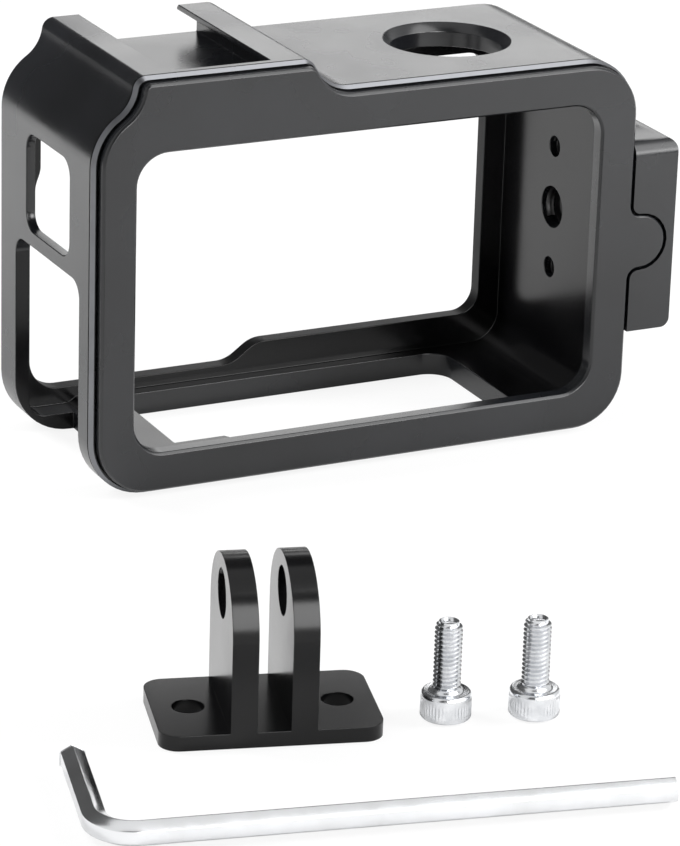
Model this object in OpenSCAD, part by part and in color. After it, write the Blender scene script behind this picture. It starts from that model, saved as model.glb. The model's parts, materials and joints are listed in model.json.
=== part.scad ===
/* [Cage] */
// Width of the cage over its two side walls
cage_w = 72.4; // [68:0.1:90]
// Height of the cage beside the raised shoe
cage_h = 48.1; // [45:0.1:66]
// Depth from the door's outer face to the back face
cage_d = 30; // [28:0.5:50]
// Radius of the three plain outer corners
corner_r = 7.3; // [5:0.1:9]
// Thickness of the two side walls
side_wall = 3.3; // [2.8:0.1:4.5]
// Thickness of the floor and the roof
flat_wall = 2.9; // [2.2:0.1:3.6]
// Thickness of the back wall round the lens window
back_wall = 2; // [1.5:0.1:3]
// Radius of the camera bay's long corners
bay_r = 3.8; // [2:0.1:5]
// Distance from the door's outer face back to the cage's front rim
rim_back = 1.3; // [1:0.05:1.5]
// Chamfer along the cage's front and back rims
rim_chamfer = 0.45; // [0.2:0.05:0.6]
// Width of the fine line cut round the cage behind its front chamfer
line_w = 0.25; // [0.1:0.05:0.4]
// Depth of that line
line_depth = 0.2; // [0.05:0.05:0.3]

/* [Raised shoe] */
// Height of the raised shoe above the roof
hump_h = 3.7; // [3.3:0.1:4.5]
// Distance of the shoe's middle left of the cage's middle
shoe_x = 19.5; // [18.5:0.1:20.5]
// Width of the slot that an accessory foot slides into
shoe_w = 18.6; // [18:0.1:19]
// Width of the opening between the two lips
shoe_open = 13.2; // [12:0.1:14]
// Height of the slot under the root of a lip
shoe_slot = 2.1; // [1.8:0.05:2.4]
// Thickness of a lip at its tip
lip_tip = 0.7; // [0.5:0.05:1]
// Thickness of the rim that closes the slot at the door end
shoe_stop = 0.9; // [0.7:0.1:2]
// Flat on the right rail between the slot's side and its rounded edge
rail_flat = 1; // [0.6:0.1:1.4]
// Radius of the right rail's outer edge
rail_r = 1.8; // [1.2:0.1:2.4]
// Radius of the hollow where the right rail meets the roof
rail_hollow = 5; // [4:0.1:7]
// Radius of the left rail's outer edge
ridge_r = 1.5; // [1.2:0.1:2.2]
// Radius of the hollow below the left rail
ridge_hollow = 4.7; // [4:0.1:6]
// Angle that the cage's shoulder turns through below the left rail
shoulder_turn = 56; // [52:1:60]
// Angle that the left rail's outer edge turns through
ridge_turn = 82; // [76:1:86]

/* [Windows and openings] */
// Height of the lens window above the floor's underside on its deep side
lens_low = 4.4; // [4:0.1:6]
// Height of the lens window's sill on its shallow side
lens_sill = 6.95; // [6:0.1:9]
// Top of the lens window below the roof's upper face
lens_top = 5.9; // [4:0.1:8]
// Inset of the lens window's lower left edge from the cage's side
lens_left = 3.2; // [3:0.1:3.7]
// Inset of the lens window's left edge at mid-height from the cage's side
lens_left_mid = 3.9; // [3.8:0.1:4.4]
// Inset of the lens window's upper left edge from the cage's side
lens_left_top = 4.6; // [4.5:0.1:7]
// Height where the lens window's left edge first starts to step in
lens_step_z = 23.5; // [20:0.1:25]
// Height of each of the two steps in that edge
lens_step_h = 3; // [2:0.1:3.4]
// Height from the start of the first step to the start of the second
lens_step_pitch = 7; // [4:0.1:8]
// Inset of the lens window's right edge from the cage's side
lens_right = 6.3; // [5:0.1:9]
// Radius of the lens window's corners
lens_r = 3; // [1:0.1:4]
// Radius of the lens window's lower left corner
lens_low_r = 4; // [1:0.1:5]
// Distance left of the middle where the sill's ramp starts to rise
ramp_x = 5.4; // [2:0.1:9]
// Length of the sill's ramp
ramp_l = 3.5; // [2:0.1:6]
// Radius that rounds the two ends of the sill's ramp
ramp_r = 4; // [1:0.1:5]
// Height of the lower left window's top edge
port_top = 26.3; // [22:0.1:27]
// Distance from the door's outer face to the lower left window
port_front = 5; // [4.7:0.1:7]
// Distance from the lower left window to the cage's back face
port_back = 5.2; // [4:0.1:8]
// Distance from the cage's side to the rail where the port opening ends
port_under = 7.8; // [7.4:0.1:10]
// Bottom edge of the upper left window
button_low = 28.15; // [28:0.05:30]
// Top edge of the upper left window
button_top = 40.4; // [36:0.1:41]
// Distance from the door's outer face to the upper left window
button_front = 8.1; // [6:0.1:10]
// Distance from the upper left window to the cage's back face
button_back = 8.5; // [6:0.1:10]
// Radius of the left windows' corners
side_r = 2.2; // [1:0.1:3]
// Thickness that the left wall keeps round the lower window, behind the front bar
port_wall = 1.9; // [1.4:0.1:2.6]
// Thickness that the left wall keeps round the upper window
button_wall = 1.2; // [1:0.1:2.6]
// Thickness that the floor keeps behind the port opening
port_floor = 2.2; // [1.6:0.1:2.6]
// Distance from the cage's left side to the battery opening
battery_left = 14.35; // [13:0.05:18]
// Distance from the battery opening to the cage's right side
battery_right = 12.3; // [11:0.1:18]
// Distance from the door's outer face to the battery opening
battery_front = 7; // [6:0.1:9]
// Distance from the battery opening to the cage's back face
battery_back = 3.8; // [3:0.1:6]
// Radius of the battery opening's corners
battery_r = 3; // [1:0.1:4]
// Depth of the step in the battery opening's front edge
step_d = 1.7; // [0.5:0.1:2.5]
// Length of that step
step_l = 6.7; // [4:0.1:10]
// Length of the ramp at the step's end
step_ramp = 1; // [0.5:0.1:2]
// Diameter of the shutter button opening in the roof
shutter_d = 14; // [10:0.5:16]
// Chamfer round the shutter button opening
shutter_chamfer = 1; // [0.4:0.1:1.4]
// Distance of the shutter opening right of the middle
shutter_x = 17.4; // [14:0.1:22]
// Distance of the shutter opening from the door's outer face
shutter_y = 16; // [14:0.1:18]

/* [Side block] */
// How far the block stands out from the cage's side
block_out = 5.8; // [5.6:0.1:9]
// Height of the block
block_h = 24.5; // [20:0.5:34]
// Length of the block from the door's outer face
block_l = 26; // [22:0.5:29]
// Height of the block's middle
block_z = 24.9; // [22:0.1:28]
// Radius of the block's outer long edges
block_r = 1.2; // [0.4:0.1:2]
// Radius of the block's upper front edge
block_brow = 1.9; // [0.4:0.1:2]
// Distance of the row of threads from the door's outer face
thread_y = 15; // [13:0.1:17]
// Distance between the two small threads
foot_pitch = 16; // [13:0.5:18]
// Core diameter of a small thread
foot_thread_d = 2.6; // [2:0.1:3]
// Core diameter of the tripod thread
tripod_d = 5.3; // [4.8:0.1:6]

/* [Door] */
// Thickness of the door plate
door_t = 2; // [1.6:0.1:3]
// Gap between the closed door and the cage's front face
seat_gap = 0.1; // [0.05:0.05:0.3]
// Inset of the door's edge from the cage's sides
door_inset = 0.6; // [0.5:0.05:0.7]
// Distance of the door's middle right of the cage's middle
door_shift = 0.2; // [0:0.05:0.25]
// Chamfer round the door's outer face
door_chamfer = 0.3; // [0.1:0.05:0.5]
// Chamfer round the door's inner face
door_back_chamfer = 0.2; // [0.1:0.05:0.4]
// Inset of the screen window from the door's left edge
screen_left = 4.45; // [3.8:0.05:8]
// Inset of the screen window from the door's right edge
screen_right = 4.85; // [3.8:0.05:8]
// Chamfer round the screen window's outer edge
screen_chamfer = 0.3; // [0.1:0.05:0.6]
// Height of the screen window's lower edge
screen_low = 5.4; // [4:0.1:9]
// Distance of the screen window's upper edge below the roof's upper face
screen_top = 5.35; // [4:0.05:9]
// Radius of the screen window's corners
screen_r = 4; // [2:0.1:6]
// Radius of the pull tab before the door's inset
tab_r = 4.1; // [3.6:0.1:4.6]
// Distance from the cage's side to the pull tab's centre
tab_out = 0.9; // [0.7:0.1:1.2]
// Height of the pull tab's centre
tab_z = 24.3; // [20:0.1:28]
// Radius of the hollow on each side of the pull tab
tab_hollow = 0.7; // [0.4:0.1:0.7]
// Gap between the door's edge and the cage round it
edge_gap = 0.2; // [0.15:0.05:0.3]

/* [Hinge and catch] */
// Distance of the hinge axis from the cage's left side
axis_inset = 0.6; // [0.5:0.05:0.7]
// Inner radius of a hinge hook about the hinge axis
hook_r = 1.5; // [1.4:0.05:1.55]
// Thickness of a hinge hook
hook_t = 0.75; // [0.5:0.05:0.8]
// Angle that a hinge hook reaches round into the wall
hook_sweep = 82; // [60:1:84]
// Height of a hinge hook
hook_h = 6; // [4:0.5:7]
// Height of the lower hook's middle
hook_low_z = 14; // [13:0.5:18]
// Height of the upper hook's middle
hook_high_z = 34; // [30:0.5:36]
// Clearance round a hinge hook in its slot
hook_gap = 0.15; // [0.1:0.05:0.2]
// Diameter of each catch magnet
magnet_d = 3; // [2:0.1:4]
// Thickness of each catch magnet
magnet_t = 1.2; // [0.8:0.1:1.3]
// Depth of a magnet's face below the surface round it
magnet_sink = 0.05; // [0.02:0.01:0.1]
// Clearance round a magnet in its pocket
magnet_gap = 0.04; // [0.02:0.01:0.08]

/* [Foot bracket] */
// Length of the foot's plate
foot_l = 23.9; // [21.5:0.1:30]
// Width of the foot's plate and prongs
foot_w = 14.8; // [12:0.1:16]
// Thickness of the foot's plate
foot_t = 1.7; // [1.5:0.1:3]
// Radius of the foot plate's corners
foot_corner = 2.2; // [1:0.1:3]
// Diameter of the foot's two screw holes
foot_hole_d = 3.5; // [3.2:0.1:3.8]
// Thickness of a prong
prong_t = 2.8; // [2.6:0.1:3.1]
// Distance from one prong to the next, middle to middle
prong_pitch = 6.4; // [6:0.1:6.6]
// Height of the eye's centre above the plate
eye_h = 12.8; // [10:0.1:15]
// Drop from the eye's centre to where the prong starts to round over
crown_drop = 2.9; // [0:0.1:5]
// Height of the prong's rounded top above the eye's centre
crown_h = 4.2; // [4:0.1:8]
// Diameter of the eye
eye_d = 5.4; // [4.9:0.05:5.6]
// Distance of the foot left of the cage's middle
foot_x = 43.2; // [40:0.1:60]
// Distance of the foot in front of the door
foot_y = 62.2; // [50:0.1:90]
// Turn of the foot on the table
foot_turn = 15.5; // [0:0.1:30]

/* [Screws] */
// Diameter of a screw's thread
screw_d = 3; // [2.5:0.1:3.2]
// Length of a screw below its head
screw_l = 8; // [6:0.5:12]
// Diameter of a screw's head
screw_head_d = 5.5; // [5:0.1:6]
// Height of a screw's head
screw_head_h = 3; // [2.5:0.1:3.5]
// Chamfer at a screw's tip
screw_tip = 0.4; // [0.2:0.05:0.6]
// Width across the flats of a screw's socket
socket_af = 2.55; // [2.1:0.05:3]
// Depth of a screw's socket
socket_depth = 1.5; // [1:0.1:2]
// Distance of the first screw left of the cage's middle
screw_x = 25; // [20:0.1:27]
// Distance of the first screw in front of the door
screw_y = 69.2; // [60:0.1:90]
// Step from the first screw to the second, to the right
screw_step_x = 9.1; // [7:0.1:12]
// Step from the first screw to the second, towards the viewer
screw_step_y = 2.9; // [0:0.1:5]

/* [Hex key] */
// Width across the key's flats
key_af = 2.5; // [2:0.05:2.9]
// Length of the key's long arm
key_long = 59.5; // [50:0.5:70]
// Length of the key's short arm
key_short = 18.2; // [16:0.1:26]
// Radius of the key's bend at its middle line
key_bend = 4; // [3:0.1:6]
// Angle between the key's two arms
key_angle = 88; // [84:0.5:96]
// Distance of the key's corner left of the cage's middle
key_x = 71.3; // [66:0.1:80]
// Distance of the key's corner in front of the door
key_y = 84.3; // [80:0.1:110]
// Turn of the key's long arm on the table
key_turn = 12.3; // [0:0.1:20]

/* [Hidden] */
$fn = 64;
black = "#2c2d30";
steel = "#c9cbcf";
nickel = "#aeb1b6";
// Cutters run this far past the faces that they open
past = 1;
// Segments in each rounded stretch of an outline
arc_steps = 12;
// Distance from the door's outer face back to the origin, under the front bar
origin_back = 5;
// Angle that a hook's slot runs on beyond the closed hook's tip
slot_rest = 6;
// How far the side block reaches into the wall that it stands on
block_root = 2;

left = -cage_w / 2;
right = cage_w / 2;
door_face = -origin_back;
door_inner = door_face + door_t;
rim = door_face + rim_back;
front = door_inner + seat_gap;
back = cage_d - origin_back;
bay_back = back - back_wall;
roof = cage_h;
hump = cage_h + hump_h;

// Centres of the rounded stretches beside the shoe
shoe_mid = -shoe_x;
rail_edge = shoe_mid + shoe_w / 2 + rail_flat;
rail_turn = acos(1 - hump_h / (rail_r + rail_hollow));
rail_hollow_x = rail_edge + (rail_r + rail_hollow) * sin(rail_turn);
shoulder_z = hump - ridge_r
    + (ridge_hollow + ridge_r) * cos(ridge_turn)
    - (corner_r + ridge_hollow) * sin(180 - shoulder_turn);
ridge_hollow_x = left + corner_r + (corner_r + ridge_hollow) * cos(180 - shoulder_turn);
ridge_hollow_z = shoulder_z + (corner_r + ridge_hollow) * sin(180 - shoulder_turn);
ridge_x = ridge_hollow_x + (ridge_hollow + ridge_r) * sin(ridge_turn);

block_side = right + block_out;
tab_x = right + tab_out;
magnet_x = tab_x + door_shift;
axis_x = left + axis_inset;
thread_z = block_z;
key_corners = key_af / cos(30);
key_reach = key_bend / tan(key_angle / 2);

function arc(c, r, a0, a1) = [for (i = [0:arc_steps])
    let (a = a0 + (a1 - a0) * i / arc_steps) [c[0] + r * cos(a), c[1] + r * sin(a)]];

// A closed outline without the points that two neighbouring stretches share
function distinct(p) = [for (i = [0:len(p) - 1])
    if (norm(p[i] - p[(i + 1) % len(p)]) > 0.001) p[i]];

// The right side's points from the lower corner to the upper one, with the pull tab
function tab_side(e) = concat(
    arc([right + tab_hollow, tab_z - tab_r - tab_hollow], tab_hollow + e, 180, 90),
    arc([tab_x, tab_z], tab_r - e, -90, 90),
    arc([right + tab_hollow, tab_z + tab_r + tab_hollow], tab_hollow + e, 270, 180));

// The cage's outline seen from the front, drawn in by e on every side
function outline(e, tab) = distinct(concat(
    arc([left + corner_r, corner_r], corner_r - e, 180, 270),
    arc([right - corner_r, corner_r], corner_r - e, 270, 360),
    tab ? tab_side(e) : [],
    arc([right - corner_r, roof - corner_r], corner_r - e, 0, 90),
    arc([rail_hollow_x, roof + rail_hollow], rail_hollow + e, 270, 270 - rail_turn),
    arc([rail_edge, hump - rail_r], rail_r - e, 90 - rail_turn, 90),
    arc([ridge_x, hump - ridge_r], ridge_r - e, 90, 90 + ridge_turn),
    arc([ridge_hollow_x, ridge_hollow_z], ridge_hollow + e, ridge_turn - 90, -shoulder_turn),
    arc([left + corner_r, shoulder_z], corner_r - e, 180 - shoulder_turn, 180)));

// A solid through outlines of one length, each at its own depth, with its two ends
// filled from a hub that every point of the outline can see
module through(rings, depths) {
    n = len(rings[0]);
    last = len(rings) - 1;
    hub = (last + 1) * n;
    polyhedron(
        points = concat(
            [for (k = [0:last]) for (p = rings[k]) [p[0], depths[k], p[1]]],
            [[shoe_mid, depths[0], tab_z], [shoe_mid, depths[last], tab_z]]),
        faces = concat(
            [for (i = [0:n - 1]) [hub, (i + 1) % n, i]],
            [for (i = [0:n - 1]) [hub + 1, last * n + i, last * n + (i + 1) % n]],
            [for (k = [0:last - 1]) for (i = [0:n - 1])
                [k * n + i, k * n + (i + 1) % n, (k + 1) * n + (i + 1) % n, (k + 1) * n + i]]));
}

// An outline in X and Z, made solid from depth y0 to depth y1
module upright(y0, y1) {
    translate([0, y1, 0])
        rotate([90, 0, 0])
            linear_extrude(y1 - y0) children();
}

// A plate seen from the left side, its outline in Y and Z, solid from x0 to x1
module sideways(x0, x1) {
    translate([x0, 0, 0])
        rotate([90, 0, 90])
            linear_extrude(x1 - x0) children();
}

function rounded_line(x0, y0, x1, y1, r) = concat(
    arc([x0 + r, y0 + r], r, 180, 270),
    arc([x1 - r, y0 + r], r, 270, 360),
    arc([x1 - r, y1 - r], r, 0, 90),
    arc([x0 + r, y1 - r], r, 90, 180));

module rounded(x0, y0, x1, y1, r) {
    polygon(rounded_line(x0, y0, x1, y1, r));
}

// The screen window's outline in the door, grown by e on every side
function screen_line(e) = rounded_line(
    left + door_shift + door_inset + screen_left - e, screen_low - e,
    right + door_shift - door_inset - screen_right + e, roof - screen_top + e, screen_r + e);

// The cross-section of the shoe's slot with its two overhanging lips
module shoe_section() {
    half = shoe_w / 2;
    gap = shoe_open / 2;
    polygon([[shoe_mid - half, roof], [shoe_mid + half, roof],
        [shoe_mid + half, roof + shoe_slot],
        [shoe_mid + gap, hump - lip_tip], [shoe_mid + gap, hump + past],
        [shoe_mid - gap, hump + past], [shoe_mid - gap, hump - lip_tip],
        [shoe_mid - half, roof + shoe_slot]]);
}

// A smooth step down from [x0, z0] to [x1, z0 - h]
function step_line(x0, x1, z0, h) = [for (i = [0:arc_steps])
    let (t = i / arc_steps) [x0 + (x1 - x0) * (1 - cos(180 * t)) / 2, z0 - h * t]];

// The lens window has a lower sill on its left, where its edge steps in twice
module lens_section() {
    x0 = left + lens_left;
    x1 = right - lens_right;
    top = roof - lens_top;
    ramp = -ramp_x;
    middle = left + lens_left_mid;
    notch = left + lens_left_top;
    rise = atan((lens_sill - lens_low) / ramp_l);
    ease = ramp_r * tan(rise / 2);
    polygon(distinct(concat(
        arc([x0 + lens_low_r, lens_low + lens_low_r], lens_low_r, 180, 270),
        arc([ramp - ease, lens_low + ramp_r], ramp_r, 270, 270 + rise),
        arc([ramp + ramp_l + ease, lens_sill - ramp_r], ramp_r, 90 + rise, 90),
        arc([x1 - lens_r, lens_sill + lens_r], lens_r, 270, 360),
        arc([x1 - lens_r, top - lens_r], lens_r, 0, 90),
        arc([notch + lens_r, top - lens_r], lens_r, 90, 180),
        step_line(notch, middle, lens_step_z + lens_step_pitch + lens_step_h, lens_step_h),
        step_line(middle, x0, lens_step_z + lens_step_h, lens_step_h))));
}

// The battery opening in the floor, with the step in its front edge
module battery_section() {
    x0 = left + battery_left;
    x1 = right - battery_right;
    y0 = door_face + battery_front;
    y1 = back - battery_back;
    polygon(concat(
        [[x0, y0 + step_d], [x0 + step_l, y0 + step_d], [x0 + step_l + step_ramp, y0], [x1, y0]],
        arc([x1 - battery_r, y1 - battery_r], battery_r, 0, 90),
        [[x0, y1]]));
}

// The port opening runs from the lower left window round the corner into the floor
module port_opening() {
    y0 = door_face + port_front;
    y1 = back - port_back;
    inner = left + port_under;
    sideways(left - past, left + side_wall + past)
        rounded(y0, corner_r, y1, port_top, side_r);
    translate([left - past, y0, -past])
        cube([inner - left + past, y1 - y0, corner_r + past + side_r]);
}

// The left wall and the floor are thinner round the two left windows
module wall_relief() {
    y0 = door_face + port_front;
    split = (port_top + button_low) / 2;
    upright(y0, bay_back)
        rounded(left + port_wall, port_floor, left + port_under + side_r, split, side_r);
    upright(y0, bay_back)
        rounded(left + button_wall, split - side_r, left + port_under + side_r, roof - flat_wall, bay_r);
}

module button_opening() {
    sideways(left - past, left + side_wall + past)
        rounded(door_face + button_front, button_low, back - button_back, button_top, side_r);
}

module side_block() {
    intersection() {
        upright(door_face, door_face + block_l)
            rounded(right - block_root, block_z - block_h / 2, block_side, block_z + block_h / 2, block_r);
        sideways(right - block_root, block_side)
            polygon(concat(
                [[door_face, block_z - block_h / 2], [door_face + block_l, block_z - block_h / 2],
                    [door_face + block_l, block_z + block_h / 2]],
                arc([door_face + block_brow, block_z + block_h / 2 - block_brow], block_brow, 90, 180)));
    }
}

// A short stretch of a ring about the hinge axis, for a hook or its slot
module hook_ring(r0, r1, a0, a1, z, h) {
    translate([axis_x, rim, z - h / 2])
        linear_extrude(h)
            polygon(concat(arc([0, 0], r1, a0, a1), arc([0, 0], r0, a1, a0)));
}

module hook_slots() {
    for (z = [hook_low_z, hook_high_z])
        hook_ring(hook_r - hook_gap, hook_r + hook_t + hook_gap, 0, hook_sweep + slot_rest,
            z, hook_h + 2 * hook_gap);
}

module magnet_at(y0, y1, d) {
    translate([magnet_x, y1, tab_z])
        rotate([90, 0, 0])
            cylinder(d = d, h = y1 - y0);
}

// The fine line round the cage just behind the front chamfer
module rim_line() {
    y0 = rim + rim_chamfer + line_w / 2;
    difference() {
        upright(y0, y0 + line_w)
            polygon(outline(-past, false));
        upright(y0 - past, y0 + line_w + past)
            polygon(outline(line_depth, false));
    }
}

module cage_body() {
    color(black)
    difference() {
        union() {
            difference() {
                through([outline(rim_chamfer, false), outline(0, false),
                        outline(0, false), outline(rim_chamfer, false)],
                    [rim, rim + rim_chamfer, back - rim_chamfer, back]);
                rim_line();
            }
            side_block();
        }
        // The camera bay, open at the door end, with its thinner left wall
        upright(front - past, bay_back)
            rounded(left + side_wall, flat_wall, right - side_wall, roof - flat_wall, bay_r);
        wall_relief();
        // Room for the closed door and its tab, cut into the front rim and the block
        translate([door_shift, 0, 0])
            upright(door_face - past, front)
                polygon(outline(door_inset - edge_gap, true));
        upright(bay_back - past, back + past)
            lens_section();
        upright(front + shoe_stop, back + past)
            shoe_section();
        button_opening();
        port_opening();
        translate([0, 0, -past])
            linear_extrude(flat_wall + 2 * past)
                battery_section();
        // The shutter button opening with its chamfer
        translate([shutter_x, door_face + shutter_y, roof - flat_wall - past])
            cylinder(d = shutter_d, h = flat_wall + 2 * past);
        translate([shutter_x, door_face + shutter_y, roof - shutter_chamfer])
            cylinder(d1 = shutter_d, d2 = shutter_d + 4 * shutter_chamfer, h = 2 * shutter_chamfer);
        // Three threads through the block and the wall behind it
        for (t = [[0, tripod_d], [-foot_pitch / 2, foot_thread_d], [foot_pitch / 2, foot_thread_d]])
            translate([right - side_wall - past, door_face + thread_y, thread_z + t[0]])
                rotate([0, 90, 0])
                    cylinder(d = t[1], h = side_wall + block_out + 2 * past);
        hook_slots();
        magnet_at(front - past, front + magnet_sink + magnet_t, magnet_d + 2 * magnet_gap);
    }
}

module rear_door() {
    color(black)
    difference() {
        union() {
            translate([door_shift, 0, 0])
                through([outline(door_inset + door_chamfer, true), outline(door_inset, true),
                        outline(door_inset, true), outline(door_inset + door_back_chamfer, true)],
                    [door_face, door_face + door_chamfer, door_inner - door_back_chamfer, door_inner]);
            // Two hooks that reach round the hinge axis into the left wall
            for (z = [hook_low_z, hook_high_z])
                hook_ring(hook_r, hook_r + hook_t, 0, hook_sweep, z, hook_h);
        }
        through([screen_line(screen_chamfer + past), screen_line(0), screen_line(0)],
            [door_face - past, door_face + screen_chamfer, door_inner + past]);
        magnet_at(door_inner - magnet_sink - magnet_t, door_inner + past,
            magnet_d + 2 * magnet_gap);
    }
}

module door_magnet() {
    color(nickel)
        magnet_at(door_inner - magnet_sink - magnet_t, door_inner - magnet_sink, magnet_d);
}

module body_magnet() {
    color(nickel)
        magnet_at(front + magnet_sink, front + magnet_sink + magnet_t, magnet_d);
}

// The prong's outline: straight sides and an elliptical crown over the eye
module prong_section() {
    half = foot_w / 2;
    polygon(concat([[-half, 0], [half, 0]],
        [for (i = [0:2 * arc_steps]) let (a = 90 * i / arc_steps)
            [half * cos(a), eye_h - crown_drop + (crown_h + crown_drop) * sin(a)]]));
}

module foot_bracket() {
    color(black)
    translate([-foot_x, door_face - foot_y, 0])
        rotate([0, 0, -foot_turn])
            difference() {
                union() {
                    linear_extrude(foot_t)
                        rounded(-foot_l / 2, -foot_w / 2, foot_l / 2, foot_w / 2, foot_corner);
                    for (side = [-1, 1])
                        translate([0, 0, foot_t])
                            sideways(side * prong_pitch / 2 - prong_t / 2,
                                side * prong_pitch / 2 + prong_t / 2)
                                prong_section();
                }
                for (side = [-1, 1])
                    translate([side * foot_pitch / 2, 0, -past])
                        cylinder(d = foot_hole_d, h = foot_t + 2 * past);
                translate([-foot_l / 2, 0, foot_t + eye_h])
                    rotate([0, 90, 0])
                        cylinder(d = eye_d, h = foot_l);
            }
}

// A socket head screw that stands on its head
module socket_screw() {
    color(steel)
    difference() {
        union() {
            cylinder(d = screw_head_d, h = screw_head_h);
            cylinder(d = screw_d, h = screw_head_h + screw_l - screw_tip);
            translate([0, 0, screw_head_h + screw_l - screw_tip])
                cylinder(d1 = screw_d, d2 = screw_d - 2 * screw_tip, h = screw_tip);
        }
        translate([0, 0, -past])
            cylinder(d = socket_af / cos(30), h = socket_depth + past, $fn = 6);
    }
}

module foot_screw_left() {
    translate([-screw_x, door_face - screw_y, 0])
        socket_screw();
}

module foot_screw_right() {
    translate([-screw_x + screw_step_x, door_face - screw_y - screw_step_y, 0])
        socket_screw();
}

// The key's cross-section, with one corner up and one down
module key_section() {
    rotate(30)
        circle(d = key_corners, $fn = 6);
}

// A straight arm of the key along X, from its bend's end out to l
module key_arm(l) {
    translate([key_reach, 0, 0])
        rotate([90, 0, 90])
            linear_extrude(l - key_reach)
                key_section();
}

module hex_key() {
    color(steel)
    translate([-key_x, door_face - key_y, key_corners / 2])
        rotate([0, 0, -key_turn]) {
            key_arm(key_long);
            rotate([0, 0, key_angle])
                key_arm(key_short);
            translate([key_reach, key_bend, 0])
                rotate([0, 0, key_angle - 270])
                    rotate_extrude(angle = 180 - key_angle)
                        translate([key_bend, 0])
                            key_section();
        }
}

cage_body();
rear_door();
door_magnet();
body_magnet();
foot_bracket();
foot_screw_left();
foot_screw_right();
hex_key();
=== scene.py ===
import json
import math

import bmesh
import bpy
from mathutils import Matrix, Vector

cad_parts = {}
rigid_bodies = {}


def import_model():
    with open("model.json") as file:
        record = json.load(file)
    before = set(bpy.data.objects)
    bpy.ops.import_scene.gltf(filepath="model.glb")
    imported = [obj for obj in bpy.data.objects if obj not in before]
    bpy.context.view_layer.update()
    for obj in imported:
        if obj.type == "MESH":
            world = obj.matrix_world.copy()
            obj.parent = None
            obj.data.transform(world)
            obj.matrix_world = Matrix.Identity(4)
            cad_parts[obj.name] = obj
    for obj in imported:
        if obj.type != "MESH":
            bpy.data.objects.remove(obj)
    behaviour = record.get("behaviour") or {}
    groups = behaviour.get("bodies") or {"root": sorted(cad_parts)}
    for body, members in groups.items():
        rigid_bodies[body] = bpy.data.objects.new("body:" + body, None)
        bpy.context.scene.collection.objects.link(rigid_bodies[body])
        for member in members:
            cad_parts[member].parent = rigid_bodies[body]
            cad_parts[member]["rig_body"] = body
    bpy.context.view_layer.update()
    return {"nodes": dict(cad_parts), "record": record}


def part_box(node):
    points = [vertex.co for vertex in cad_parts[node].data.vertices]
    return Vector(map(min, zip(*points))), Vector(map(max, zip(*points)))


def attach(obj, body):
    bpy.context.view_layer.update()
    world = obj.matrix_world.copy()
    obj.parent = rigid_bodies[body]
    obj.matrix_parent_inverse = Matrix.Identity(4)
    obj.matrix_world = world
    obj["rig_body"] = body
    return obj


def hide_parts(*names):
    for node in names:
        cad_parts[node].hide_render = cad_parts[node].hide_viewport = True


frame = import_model()
mm = 0.001
noiseRange = (0.3, 0.7)  # most of a noise texture's values lie in here


def hexColor(code):
    # sRGB hex to the linear colour that the shaders use
    parts = [int(code[i:i + 2], 16) / 255 for i in (1, 3, 5)]
    return tuple(c / 12.92 if c <= 0.04045 else ((c + 0.055) / 1.055) ** 2.4 for c in parts) + (1,)


def addNode(tree, kind, inputs=None, **settings):
    # one node with its settings; an input is a value or another node's output
    node = tree.nodes.new(kind)
    for name, value in settings.items():
        setattr(node, name, value)
    for name, value in (inputs or {}).items():
        socket = node.inputs[name]
        if isinstance(value, bpy.types.NodeSocket):
            tree.links.new(value, socket)
        else:
            socket.default_value = value
    return node


def newMaterial(name):
    material = bpy.data.materials.new(name)
    material.use_nodes = True
    tree = material.node_tree
    tree.nodes.clear()
    out = addNode(tree, "ShaderNodeOutputMaterial")
    return material, tree, out


def newPiece(name, bm, body, finishes, smoothAngle=None):
    # without a smoothing angle the mesh keeps the sharp edges that it was given
    mesh = bpy.data.meshes.new(name)
    bm.to_mesh(mesh)
    bm.free()
    piece = bpy.data.objects.new(name, mesh)
    bpy.context.scene.collection.objects.link(piece)
    for finish in finishes:
        mesh.materials.append(finish)
    mesh.polygons.foreach_set("use_smooth", [True] * len(mesh.polygons))
    if smoothAngle:
        mesh.set_sharp_from_angle(angle=math.radians(smoothAngle))
    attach(piece, body)
    return piece


def twoTones(tree, fac, look):
    # from the darker to the paler of a finish's two colours
    node = addNode(tree, "ShaderNodeValToRGB", {"Fac": fac})
    for stop, position, code in zip(node.color_ramp.elements, look["toneRange"],
            (look["color"], look["paleColor"])):
        stop.position, stop.color = position, hexColor(code)
    return node.outputs["Color"]


def unevenRoughness(tree, fac, look):
    node = addNode(tree, "ShaderNodeMapRange", {
        "Value": fac, "From Min": noiseRange[0], "From Max": noiseRange[1],
        "To Min": look["roughness"] - look["roughSpread"],
        "To Max": look["roughness"] + look["roughSpread"]})
    return node.outputs["Result"]


anodised = {
    "color": "#0e0f11", "paleColor": "#151619", "toneRange": (0.35, 0.7),
    "roughness": 0.26, "roughSpread": 0.04, "ior": 1.51,
    "gritMm": 0.16,  # bead blast dimples, drawn a little coarser than real so that they show
    "gritDepthMm": 0.005, "gritStrength": 0.5,
    "cloudMm": 14,  # slow change of the dye across a face
    "edgeMm": 0.05,  # radius that deburring leaves on every edge
}


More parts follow.
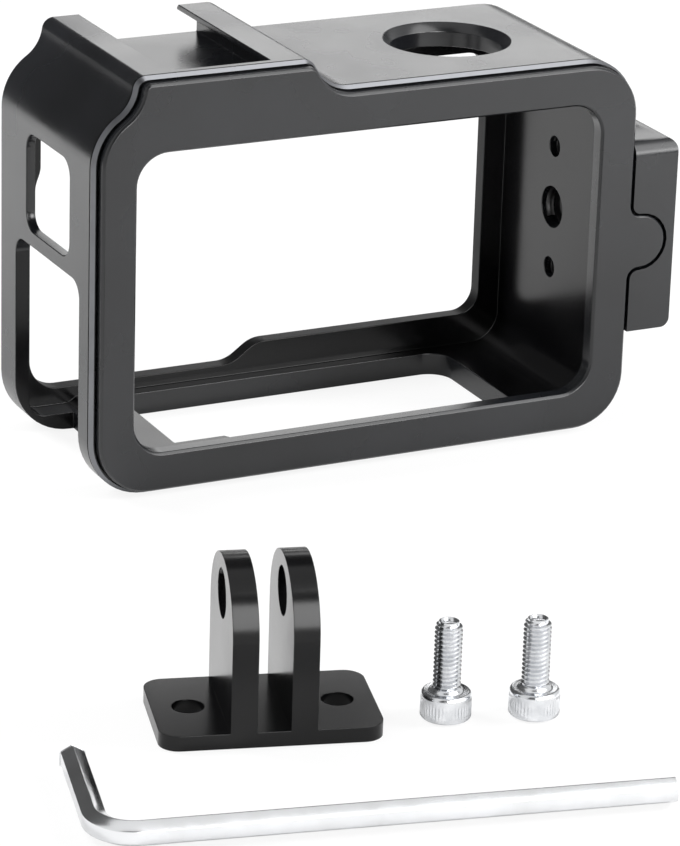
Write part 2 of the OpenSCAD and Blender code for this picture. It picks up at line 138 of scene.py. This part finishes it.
def anodisedAluminium(name, look):
    # Bead blasted aluminium, anodised and dyed black: the oxide is a clear hard layer,
    # so it has a dielectric sheen that grows towards grazing angles over a nearly black base
    material, tree, out = newMaterial(name)
    place = addNode(tree, "ShaderNodeTexCoord").outputs["Object"]
    cloud = addNode(tree, "ShaderNodeTexNoise", {
        "Vector": place, "Scale": 1 / (look["cloudMm"] * mm), "Detail": 3, "Roughness": 0.5})
    grit = addNode(tree, "ShaderNodeTexNoise", {
        "Vector": place, "Scale": 1 / (look["gritMm"] * mm), "Detail": 2, "Roughness": 0.6})
    edge = addNode(tree, "ShaderNodeBevel", {"Radius": look["edgeMm"] * mm}, samples=4)
    bump = addNode(tree, "ShaderNodeBump", {
        "Height": grit.outputs["Fac"], "Strength": look["gritStrength"],
        "Distance": look["gritDepthMm"] * mm,
        "Normal": edge.outputs["Normal"]})
    shader = addNode(tree, "ShaderNodeBsdfPrincipled", {
        "Base Color": twoTones(tree, cloud.outputs["Fac"], look),
        "Roughness": unevenRoughness(tree, cloud.outputs["Fac"], look),
        "IOR": look["ior"], "Normal": bump.outputs["Normal"]})
    tree.links.new(shader.outputs["BSDF"], out.inputs["Surface"])
    return material


plated = {
    "color": "#c8cacd", "paleColor": "#dcdddf", "toneRange": (0.3, 0.65),
    "roughness": 0.22, "roughSpread": 0.05,
    "blotchMm": 1.6,  # faint stains left by the plating bath
    "scratchMm": 0.25, "scratchDepthMm": 0.004, "scratchStrength": 0.25,
}


def platedSteel(name, look):
    # Steel with a thin bright plating: a clean mirror-like metal, softened by fine handling marks
    material, tree, out = newMaterial(name)
    place = addNode(tree, "ShaderNodeTexCoord").outputs["Object"]
    blotch = addNode(tree, "ShaderNodeTexNoise", {
        "Vector": place, "Scale": 1 / (look["blotchMm"] * mm), "Detail": 4, "Roughness": 0.55})
    marks = addNode(tree, "ShaderNodeTexNoise", {
        "Vector": place, "Scale": 1 / (look["scratchMm"] * mm), "Detail": 2, "Roughness": 0.5})
    bump = addNode(tree, "ShaderNodeBump", {
        "Height": marks.outputs["Fac"], "Strength": look["scratchStrength"],
        "Distance": look["scratchDepthMm"] * mm})
    shader = addNode(tree, "ShaderNodeBsdfPrincipled", {
        "Base Color": twoTones(tree, blotch.outputs["Fac"], look), "Metallic": 1.0,
        "Roughness": unevenRoughness(tree, blotch.outputs["Fac"], look),
        "Normal": bump.outputs["Normal"]})
    tree.links.new(shader.outputs["BSDF"], out.inputs["Surface"])
    return material


cageFinish = anodisedAluminium("blackAnodisedBeadBlastedAluminium", anodised)
# the foot is polished before dyeing: darker and glossier than the cage
footFinish = anodisedAluminium("blackAnodisedSatinAluminium", dict(
    anodised, color="#060607", paleColor="#0b0b0c", roughness=0.22, roughSpread=0.03, ior=1.34,
    gritMm=0.22, gritDepthMm=0.004, edgeMm=0.14))
# the bay's walls get a blacker colour and a weaker sheen than the cage: painted shade for the dark
# inside of the bay; they also mirror more sharply
bayPaintedShadeFinish = anodisedAluminium("blackAnodisedBayPaintedShade", dict(
    anodised, color="#060607", paleColor="#0a0a0b", roughness=0.2, roughSpread=0.03, ior=1.35,
    gritMm=0.3, gritDepthMm=0.003))
# the lens window's edges are matt, with a blacker colour and a weaker sheen than the cage: painted
# shade, so they don't catch the light that the roof catches
windowEdgePaintedShadeFinish = anodisedAluminium("blackAnodisedMattEdgePaintedShade", dict(
    anodised, color="#060607", paleColor="#0a0a0b", roughness=0.5, ior=1.3,
    gritMm=0.3, gritDepthMm=0.003))
# cut threads are a little rougher than blasted faces
boreFinish = anodisedAluminium("blackAnodisedThread", dict(
    anodised, color="#0a0a0b", paleColor="#101012", roughness=0.35))
# the rim's chamfer gets grey metal that is brighter than the cage: a painted highlight along the
# rim
rimPaintedHighlightFinish = platedSteel("greyMetalRimPaintedHighlight", dict(
    plated, color="#68696c", paleColor="#727376", roughness=0.32, blotchMm=4))
screwFinish = platedSteel("zincPlatedSteel", plated)
# nickel over drawn bar is smoother and evener than the screws' zinc
keyFinish = platedSteel("nickelPlatedSteel", dict(
    plated, color="#d2d3d4", paleColor="#dddee0", roughness=0.2, roughSpread=0.03, blotchMm=6))
magnetFinish = platedSteel("nickelPlatedMagnet", dict(plated, color="#b5b4b0", roughness=0.18))
print("materials made")


machined = {
    # one entry per CAD solid; an "edgeMm" of 0 leaves the softening to the finish; in front of
    # "plainFrontMm" edges stay as cut, because they carry their own chamfers there;
    # "rimHighlightMm" is the depth of the rim's chamfer, which gets a painted highlight; "bay" is
    # the opening whose walls get the bay's darker finish, painted shade, its box grown by
    # "bayGrownMm" to reach them, and the lens window's edges, also painted shade, begin
    # "windowEdgeMm" behind it
    "cage_body": {"piece": "cageShell", "edgeMm": 0.1, "plainFrontMm": -2.7,
        "slot": "black_aluminium", "rimHighlightMm": (-3.75, -3.2),
        "finishes": [cageFinish, rimPaintedHighlightFinish, bayPaintedShadeFinish, windowEdgePaintedShadeFinish],
        "bay": "camera_bay", "bayGrownMm": 1.8, "windowEdgeMm": 0.3},
    "rear_door": {"piece": "doorFrame", "edgeMm": 0.07,
        "slot": "black_aluminium", "finishes": [cageFinish]},
    "foot_bracket": {"piece": "footBracket", "edgeMm": 0,
        "slot": "foot_aluminium", "finishes": [footFinish]},
    "door_magnet": {"piece": "doorMagnetDisc", "edgeMm": 0.1,
        "slot": "magnet_nickel", "finishes": [magnetFinish]},
    "body_magnet": {"piece": "blockMagnetDisc", "edgeMm": 0.1,
        "slot": "magnet_nickel", "finishes": [magnetFinish]},
}
meshLook = {
    "mergeMm": 0.002, "flatAngle": 0.3, "sharpAngle": 32, "bevelSegments": 2,
    "chamferSlant": (-0.9, -0.4),  # range of a front chamfer's normal along Y
}


def dressCageFaces(bm, look):
    # the first finish in the list is the cage's own, which every other face keeps
    rim, bay, windowEdge = (look["finishes"].index(finish)
        for finish in (rimPaintedHighlightFinish, bayPaintedShadeFinish, windowEdgePaintedShadeFinish))
    first, last = (depth * mm for depth in look["rimHighlightMm"])
    slantLow, slantHigh = meshLook["chamferSlant"]
    opening = [o for o in frame["record"]["physics"]["openings"] if o["name"] == look["bay"]][0]
    low, high = opening["box_m"]
    grown = look["bayGrownMm"] * mm
    for face in bm.faces:
        x, y, z = face.calc_center_median()
        # faces on the rim's front chamfer get the grey metal finish: a painted highlight
        if slantLow < face.normal.y < slantHigh and first < y < last:
            face.material_index = rim
        # in front the walls belong to the rim, so there the box isn't grown
        if (low[0] - grown < x < high[0] + grown and low[1] < y < high[1] + grown
                and low[2] - grown < z < high[2] + grown):
            # the bay's walls get a darker finish as painted shade, and the lens window's edges
            # behind them a darker matt one, also painted shade
            behind = y - high[1] > look["windowEdgeMm"] * mm
            face.material_index = windowEdge if behind else bay


def softenNode(nodeName, look):
    node = frame["nodes"][nodeName]
    bm = bmesh.new()
    bm.from_mesh(node.data)
    bmesh.ops.remove_doubles(bm, verts=bm.verts, dist=meshLook["mergeMm"] * mm)
    bmesh.ops.dissolve_limit(bm, angle_limit=math.radians(meshLook["flatAngle"]),
        use_dissolve_boundaries=False, verts=bm.verts, edges=bm.edges, delimit={"NORMAL"})
    plainFront = look.get("plainFrontMm", -math.inf) * mm
    weight = bm.edges.layers.float.new("bevel_weight_edge")
    for edge in bm.edges:
        sharp = edge.calc_face_angle(0) > math.radians(meshLook["sharpAngle"])
        rounded = sharp and look["edgeMm"] > 0 and min(v.co.y for v in edge.verts) > plainFront
        edge[weight] = 1.0 if rounded else 0.0
        edge.smooth = rounded or not sharp
    if "bay" in look:
        dressCageFaces(bm, look)
    piece = newPiece(look["piece"], bm, node["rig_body"], look["finishes"])
    if look["edgeMm"]:
        bevel = piece.modifiers.new("softEdge", "BEVEL")
        bevel.width = look["edgeMm"] * mm
        bevel.segments = meshLook["bevelSegments"]
        bevel.limit_method = "WEIGHT"
        bevel.use_clamp_overlap = False
        bevel.miter_outer = "MITER_ARC"
    normals = piece.modifiers.new("flatFaces", "WEIGHTED_NORMAL")
    normals.keep_sharp = True
    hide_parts(nodeName)


for nodeName, look in machined.items():
    softenNode(nodeName, look)
print("machined parts softened")


threadLook = {
    # what the threads in the holes and on the screws share
    "tooth": (0, 0.12, 0.5, 0.62),  # start and end of root and crest, as shares of the pitch
    "stepsPerTurn": 24,
    "mergeShare": 0.02,  # gap that is closed between two turns' roots, by the pitch
    "sinkMm": 0.02,  # how far the roots of a hole's thread lie inside its wall
    "smooth": 60,
}


def helix(bm, rootRadius, crestRadius, pitch, turns, zStart):
    # one thread tooth, spun up the Z axis; its lower and upper roots meet from turn to turn
    radii = (rootRadius, rootRadius, crestRadius, crestRadius)
    tooth = [bm.verts.new((r, 0, zStart + h * pitch)) for r, h in zip(radii, threadLook["tooth"])]
    tooth.append(bm.verts.new((rootRadius, 0, zStart + pitch)))
    edges = [bm.edges.new(pair) for pair in zip(tooth, tooth[1:])]
    stepsPerTurn = threadLook["stepsPerTurn"]
    steps = round(stepsPerTurn * turns)
    bmesh.ops.spin(bm, geom=tooth + edges, axis=(0, 0, 1), cent=(0, 0, 0),
        dvec=(0, 0, pitch / stepsPerTurn), angle=math.tau * steps / stepsPerTurn, steps=steps,
        use_merge=False, use_duplicate=False)
    bmesh.ops.remove_doubles(bm, verts=bm.verts, dist=pitch * threadLook["mergeShare"])


holeThreads = {
    # millimetres; "raised" is above the mount's middle, "start" lies along the mount's axis
    # from there, and the thread runs against the axis
    "tripodThread": {"mount": "tripod_thread", "raised": 0, "start": -0.5, "length": 8.1,
        "core": 2.65, "depth": 0.26, "pitch": 1.27},
    "upperFootThread": {"mount": "tripod_thread", "raised": 8, "start": -0.5, "length": 8.1,
        "core": 1.3, "depth": 0.14, "pitch": 0.5},
    "lowerFootThread": {"mount": "tripod_thread", "raised": -8, "start": -0.5, "length": 8.1,
        "core": 1.3, "depth": 0.14, "pitch": 0.5},
    "footEyeThread": {"mount": "foot_eye", "raised": 0, "start": -2.0, "length": 2.5,
        "core": 2.7, "depth": 0.24, "pitch": 0.8, "slot": "foot_aluminium"},
}


def holeThread(name, look):
    mount = [m for m in frame["record"]["mounts"] if m["name"] == look["mount"]][0]
    axis = Vector(mount["axis"])
    bm = bmesh.new()
    helix(bm, (look["core"] + threadLook["sinkMm"]) * mm, (look["core"] - look["depth"]) * mm,
        look["pitch"] * mm, look["length"] / look["pitch"] - 1, 0)
    bmesh.ops.recalc_face_normals(bm, faces=bm.faces)
    turn = Vector((0, 0, 1)).rotation_difference(-axis).to_matrix().to_4x4()
    start = Vector(mount["pos_m"]) + axis * look["start"] * mm + Vector((0, 0, look["raised"] * mm))
    bmesh.ops.transform(bm, verts=bm.verts, matrix=Matrix.Translation(start) @ turn)
    newPiece(name, bm, "cage", [boreFinish],
        threadLook["smooth"])


for name, look in holeThreads.items():
    holeThread(name, look)
print("hole threads cut")


screwLook = {
    # an M3 by 8 screw in millimetres; it stands on its head, so heights count from the head's
    # end face up to the tip
    "headRadius": 2.75, "headHeight": 3.0, "shoulder": 0.45, "ribs": 44, "ribDepth": 0.09,
    "headFoot": [(-0.35, 0), (-0.12, 0.06), (0, 0.22), (0, 0.9), (0, 1.6)],  # from the radius
    "ribGap": 0.15,  # plain ring between the knurl and the shoulder
    "socketFlats": 2.55, "socketDepth": 1.5,
    "neck": [(2.02, 0), (1.8, 0.05), (1.66, 0.2), (1.42, 0.45), (1.09, 0.5)],  # over the head
    "threadRadius": 1.5, "coreRadius": 1.19, "pitch": 0.5, "length": 8.0,
    "threadFrom": 0.1,  # over the head
    "taperLength": 1.1, "taperShare": 0.22,  # how the last turns lose radius
    "tip": [(0.15, -0.45), (0.62, -0.35), (0.86, -0.05), (0.98, 0), (1.08, -0.05), (1.12, -0.3),
        (1.12, -1.2)],  # a hollow end, heights from the tip
    "tipSteps": 32,
    "slack": 0.01,  # how near to a height or radius a corner counts as on it
    "smooth": 38,
}


def spinOutline(bm, outline, steps):
    # a full turn about the Z axis
    verts = [bm.verts.new((x * mm, 0, z * mm)) for x, z in outline]
    edges = [bm.edges.new(pair) for pair in zip(verts, verts[1:])]
    bmesh.ops.spin(bm, geom=verts + edges, axis=(0, 0, 1), cent=(0, 0, 0), angle=math.tau,
        steps=steps, use_merge=True, use_duplicate=False)


def screwHead(bm, look):
    # an outline from the flat end face round the side to the neck, spun full circle
    r, h, s = look["headRadius"], look["headHeight"], look["shoulder"]
    ribTop = h - s - look["ribGap"]
    outline = [(r + x, z) for x, z in look["headFoot"]] + [(r, ribTop)]
    outline += [(r - s * (1 - math.cos(a)), h - s + s * math.sin(a))
        for a in (math.radians(d) for d in (0, 22, 45, 68, 90))]
    outline += [(x, h + z) for x, z in look["neck"]]
    steps = look["ribs"] * 2
    spinOutline(bm, outline, steps)
    # the knurl: every second column of the side stands out less
    for v in bm.verts:
        if v.co.xy.length > (r - look["slack"]) * mm and v.co.z < (ribTop + look["slack"]) * mm:
            column = round(math.atan2(v.co.y, v.co.x) / math.tau * steps)
            if column % 2:
                v.co.xy *= 1 - look["ribDepth"] / r


def screwSocket(bm, look):
    # a hexagon joined to the end face's rim, pushed up into the head
    rim = [e for e in bm.edges if e.is_boundary and all(
        abs(v.co.z) < look["slack"] * mm for v in e.verts)]
    hexagon = bmesh.ops.create_circle(bm, segments=6, cap_ends=False,
        radius=look["socketFlats"] / 2 / math.cos(math.radians(30)) * mm)["verts"]
    hexEdges = list({e for v in hexagon for e in v.link_edges})
    bmesh.ops.bridge_loops(bm, edges=rim + hexEdges)
    pushed = bmesh.ops.extrude_edge_only(bm, edges=hexEdges)["geom"]
    bmesh.ops.translate(bm, vec=(0, 0, look["socketDepth"] * mm),
        verts=[g for g in pushed if isinstance(g, bmesh.types.BMVert)])
    bmesh.ops.contextual_create(bm, geom=[g for g in pushed if isinstance(g, bmesh.types.BMEdge)])


def screwShank(look):
    # the thread, its last turns thinned towards a cupped tip, as a mesh of its own
    threadStart = look["headHeight"] + look["threadFrom"]
    top = look["headHeight"] + look["length"]
    turns = (top - threadStart) / look["pitch"] - 1
    bm = bmesh.new()
    helix(bm, look["coreRadius"] * mm, look["threadRadius"] * mm, look["pitch"] * mm, turns,
        threadStart * mm)
    bmesh.ops.holes_fill(bm, edges=[e for e in bm.edges if e.is_boundary], sides=0)
    for v in bm.verts:
        near = max(0, v.co.z / mm - (top - look["taperLength"])) / look["taperLength"]
        v.co.xy *= 1 - look["taperShare"] * near * near
    # a short plug with a hollow end closes the thread
    spinOutline(bm, [(x, top + z) for x, z in look["tip"]], look["tipSteps"])
    bmesh.ops.holes_fill(bm, edges=[e for e in bm.edges if e.is_boundary], sides=0)
    mesh = bpy.data.meshes.new("screwShank")
    bm.to_mesh(mesh)
    bm.free()
    return mesh


def socketScrew(nodeName, pieceName, look):
    low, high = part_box(nodeName)
    bm = bmesh.new()
    screwHead(bm, look)
    screwSocket(bm, look)
    shank = screwShank(look)
    bm.from_mesh(shank)
    bpy.data.meshes.remove(shank)
    bmesh.ops.recalc_face_normals(bm, faces=bm.faces)
    bmesh.ops.translate(bm, verts=bm.verts,
        vec=((low.x + high.x) / 2, (low.y + high.y) / 2, low.z))
    piece = newPiece(pieceName, bm, "cage", [screwFinish], look["smooth"])
    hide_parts(nodeName)


socketScrew("foot_screw_left", "footScrewLeft", screwLook)
socketScrew("foot_screw_right", "footScrewRight", screwLook)
print("screws turned")


keyLook = {
    # sizes as in part.scad, in millimetres and degrees
    "flats": 2.5, "long": 59.5, "short": 18.2, "bend": 4.0, "armAngle": 88,
    "corner": (-71.3, -89.3), "turn": 12.3,
    "edge": 0.13, "endEdge": 0.12, "bendSteps": 16, "merge": 0.001, "smooth": 25,
}


def pushFace(bm, face, vec):
    # the end face moves on and leaves a straight stretch of bar behind
    made = bmesh.ops.extrude_face_region(bm, geom=[face])["geom"]
    bmesh.ops.translate(bm, vec=vec, verts=[g for g in made if isinstance(g, bmesh.types.BMVert)])
    if face.is_valid:
        bmesh.ops.delete(bm, geom=[face], context="FACES_ONLY")
    return [g for g in made if isinstance(g, bmesh.types.BMFace)][0]


def hexKey(nodeName, look):
    # the bar lies with one corner of its hexagon up; it is drawn from the short arm's tip,
    # along -Y to the bend and then out along the long arm
    cornerRadius = look["flats"] / 2 / math.cos(math.radians(30))
    armAngle = math.radians(look["armAngle"])
    reach = look["bend"] / math.tan(armAngle / 2)
    bm = bmesh.new()
    ring = bmesh.ops.create_circle(bm, segments=6, cap_ends=True, radius=cornerRadius * mm)["verts"]
    bmesh.ops.bevel(bm, geom=ring, offset=look["edge"] * mm, offset_type="OFFSET", segments=2,
        profile=0.5, affect="VERTICES", material=-1)
    bmesh.ops.rotate(bm, verts=bm.verts, cent=(0, 0, 0),
        matrix=Matrix.Rotation(math.radians(90), 3, "X"))
    bmesh.ops.translate(bm, verts=bm.verts, vec=(0, look["short"] * mm, 0))
    bmesh.ops.duplicate(bm, geom=bm.faces[:] + bm.edges[:] + bm.verts[:])
    bm.faces.ensure_lookup_table()
    face = pushFace(bm, bm.faces[1], (0, (reach - look["short"]) * mm, 0))
    spun = bmesh.ops.spin(bm, geom=[face], axis=(0, 0, 1),
        cent=(look["bend"] * mm, reach * mm, 0), angle=math.pi - armAngle,
        steps=look["bendSteps"], use_merge=False, use_duplicate=False)
    face = [g for g in spun["geom_last"] if isinstance(g, bmesh.types.BMFace)][0]
    along = Vector((math.sin(armAngle), math.cos(armAngle), 0))
    pushFace(bm, face, along * (look["long"] - reach) * mm)
    bmesh.ops.remove_doubles(bm, verts=bm.verts, dist=look["merge"] * mm)
    ends = sorted(bm.faces, key=lambda f: -len(f.verts))[:2]
    bmesh.ops.bevel(bm, geom=list({e for f in ends for e in f.edges}), offset=look["endEdge"] * mm,
        offset_type="OFFSET", segments=2, profile=0.5, affect="EDGES", material=-1)
    bmesh.ops.recalc_face_normals(bm, faces=bm.faces)
    turn = -math.radians(look["turn"]) - (math.pi / 2 - armAngle)
    place = Vector((*look["corner"], cornerRadius)) * mm
    bmesh.ops.transform(bm, verts=bm.verts,
        matrix=Matrix.Translation(place) @ Matrix.Rotation(turn, 4, "Z"))
    piece = newPiece("hexKeyBar", bm, "cage", [keyFinish], look["smooth"])
    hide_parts(nodeName)


hexKey("hex_key", keyLook)
print("hex key bent")


stageLook = {
    "tableM": 6.0, "white": "#ffffff", "paper": "#f4f4f4",
    "tableDropMm": 0.1,  # keeps the table's plane off the undersides that stand on it
    "cameraShare": 0.88,  # how much plain white the camera sees; the rest is the lit table
    "glossShare": 0.3,  # the same for what reflections show
    "skySeen": 1.0,  # strength of the sky for the camera and in reflections, where 1 is white
    "skyLight": 0.4,  # strength of the light that the sky gives to matt surfaces
}


def studioTable(look):
    bm = bmesh.new()
    bmesh.ops.create_grid(bm, x_segments=1, y_segments=1, size=look["tableM"] / 2)
    bmesh.ops.translate(bm, verts=bm.verts, vec=(0, 0, -look["tableDropMm"] * mm))
    mesh = bpy.data.meshes.new("studioTable")
    bm.to_mesh(mesh)
    bm.free()
    table = bpy.data.objects.new("studioTable", mesh)
    bpy.context.scene.collection.objects.link(table)
    material, tree, out = newMaterial("matWhiteTable")
    rays = addNode(tree, "ShaderNodeLightPath")
    gloss = addNode(tree, "ShaderNodeMath", {0: rays.outputs["Is Glossy Ray"],
        1: rays.outputs["Is Transmission Ray"]}, operation="MAXIMUM")
    glossPart = addNode(tree, "ShaderNodeMath", {0: gloss.outputs[0], 1: look["glossShare"]},
        operation="MULTIPLY")
    share = addNode(tree, "ShaderNodeMath", {0: rays.outputs["Is Camera Ray"],
        1: look["cameraShare"], 2: glossPart.outputs[0]}, operation="MULTIPLY_ADD")
    paper = addNode(tree, "ShaderNodeBsdfDiffuse", {"Color": hexColor(look["paper"])})
    glow = addNode(tree, "ShaderNodeEmission", {"Color": hexColor(look["white"]), "Strength": 1.0})
    mix = addNode(tree, "ShaderNodeMixShader", {0: share.outputs[0], 1: paper.outputs[0],
        2: glow.outputs[0]})
    tree.links.new(mix.outputs[0], out.inputs["Surface"])
    mesh.materials.append(material)


def studioWorld(look):
    world = bpy.data.worlds.new("studioWorld")
    bpy.context.scene.world = world
    world.use_nodes = True
    tree = world.node_tree
    tree.nodes.clear()
    out = addNode(tree, "ShaderNodeOutputWorld")
    rays = addNode(tree, "ShaderNodeLightPath")
    seen = addNode(tree, "ShaderNodeMath", {0: rays.outputs["Is Camera Ray"],
        1: rays.outputs["Is Glossy Ray"]}, operation="MAXIMUM")
    seenAll = addNode(tree, "ShaderNodeMath", {0: seen.outputs[0],
        1: rays.outputs["Is Transmission Ray"]}, operation="MAXIMUM")
    strength = addNode(tree, "ShaderNodeMapRange", {"Value": seenAll.outputs[0],
        "To Min": look["skyLight"], "To Max": look["skySeen"]})
    sky = addNode(tree, "ShaderNodeBackground", {"Color": (1, 1, 1, 1),
        "Strength": strength.outputs["Result"]})
    tree.links.new(sky.outputs[0], out.inputs["Surface"])


def directionOf(azimuth, elevation):
    # azimuth counts from +X towards +Y
    a, e = math.radians(azimuth), math.radians(elevation)
    return Vector((math.cos(e) * math.cos(a), math.cos(e) * math.sin(a), math.sin(e)))


lamps = {
    # azimuth and elevation from the aim point, distance and size in metres, power in watts; "sees"
    # is gloss for a lamp that only reflections show and matt for one that no reflection shows
    "overheadFrontBox": {"toward": (-50, 40), "distance": 0.8, "size": (0.56, 0.86), "power": 5.6,
        "sees": "gloss"},
    "rightFrontBox": {"toward": (-64, 16), "distance": 0.8, "size": (0.24, 0.26), "power": 1.8,
        "sees": "gloss"},
    "backStrip": {"toward": (58, 20), "distance": 0.6, "size": (0.28, 0.25), "power": 0.49,
        "sees": "gloss"},
    "frontStrip": {"toward": (266, 22), "distance": 0.8, "size": (0.3, 0.58), "power": 5.2,
        "sees": "gloss"},
    "backTopBox": {"toward": (125, 65), "distance": 0.95, "size": (0.6, 0.6), "power": 2.4,
        "sees": "matt"},
    "leftBackFill": {"toward": (135, 35), "distance": 0.42, "size": (0.2, 0.2), "power": 1.9,
        "sees": "matt"},
    "rightFrontFill": {"toward": (-32, 24), "distance": 0.34, "size": (0.16, 0.16), "power": 1.9,
        "sees": "matt"},
}
aimPoint = Vector((0, 0.01, 0.04))  # in the bay's upper half; lamps and cards stand round it


def softbox(name, look):
    light = bpy.data.lights.new(name, "AREA")
    light.shape = "RECTANGLE"
    light.size, light.size_y = look["size"]
    light.energy = look["power"]
    lamp = bpy.data.objects.new(name, light)
    bpy.context.scene.collection.objects.link(lamp)
    aim = directionOf(*look["toward"])
    lamp.location = aimPoint + aim * look["distance"]
    lamp.rotation_euler = (-aim).to_track_quat("-Z", "Y").to_euler()
    lamp.visible_diffuse = look["sees"] == "matt"
    lamp.visible_glossy = look["sees"] == "gloss"


flags = {
    # dark cards that only reflections show, with the azimuths and elevations that they cover
    "backFlag": {"azimuths": (28, 152), "elevations": (-3, 63), "distance": 0.75, "glow": 0.11},
    # stands just above the table, so that the steep part of the shoulder stays dark too
    "lowBackFlag": {"azimuths": (90, 138), "elevations": (-7.4, -2.3), "distance": 0.3,
        "glow": 0.11},
    "frontFlag": {"azimuths": (215, 288), "elevations": (7, 72), "distance": 0.9, "glow": 0.1},
}


def darkFlag(name, look, steps=12):
    # a curved card: one upright edge, spun about the cage
    low, high = (look["distance"] * math.tan(math.radians(e)) for e in look["elevations"])
    first, last = (math.radians(a) for a in look["azimuths"])
    bm = bmesh.new()
    ends = [bm.verts.new(aimPoint + Vector((look["distance"] * math.cos(first),
        look["distance"] * math.sin(first), z))) for z in (low, high)]
    edge = bm.edges.new(ends)
    bmesh.ops.spin(bm, geom=ends + [edge], axis=(0, 0, 1), cent=aimPoint, angle=last - first,
        steps=steps, use_merge=False, use_duplicate=False)
    mesh = bpy.data.meshes.new(name)
    bm.to_mesh(mesh)
    bm.free()
    flag = bpy.data.objects.new(name, mesh)
    bpy.context.scene.collection.objects.link(flag)
    material, tree, out = newMaterial(name + "Cloth")
    cloth = addNode(tree, "ShaderNodeEmission", {"Color": (1, 1, 1, 1), "Strength": look["glow"]})
    tree.links.new(cloth.outputs[0], out.inputs["Surface"])
    mesh.materials.append(material)
    flag.visible_camera = False
    flag.visible_diffuse = False
    flag.visible_shadow = False


studioTable(stageLook)
studioWorld(stageLook)
for name, look in lamps.items():
    softbox(name, look)
for name, look in flags.items():
    darkFlag(name, look)

cameraLook = {
    # place in millimetres, then the directions of the picture's right, its top and its depth
    "place": (-219.05, -432.1, 185.86), "right": (0.8975, -0.44, 0.0295),
    "up": (0.1302, 0.3284, 0.9355), "ahead": (0.4214, 0.8358, -0.352),
    "focalPx": 4200, "imageHeightPx": 846, "sensorMm": 24, "seenFromM": 0.01, "seenToM": 20,
}


def studioCamera(look):
    data = bpy.data.cameras.new("photoCamera")
    data.sensor_fit = "VERTICAL"
    data.sensor_height = look["sensorMm"]
    data.lens = look["focalPx"] / look["imageHeightPx"] * data.sensor_height
    data.clip_start, data.clip_end = look["seenFromM"], look["seenToM"]
    camera = bpy.data.objects.new("photoCamera", data)
    bpy.context.scene.collection.objects.link(camera)
    axes = Matrix([Vector(look["right"]), Vector(look["up"]), -Vector(look["ahead"])])
    place = Matrix.Translation(Vector(look["place"]) * mm)
    camera.matrix_world = place @ axes.transposed().to_4x4()
    bpy.context.scene.camera = camera


studioCamera(cameraLook)
bpy.context.scene.view_settings.view_transform = "Standard"
print("stage, light and camera set")
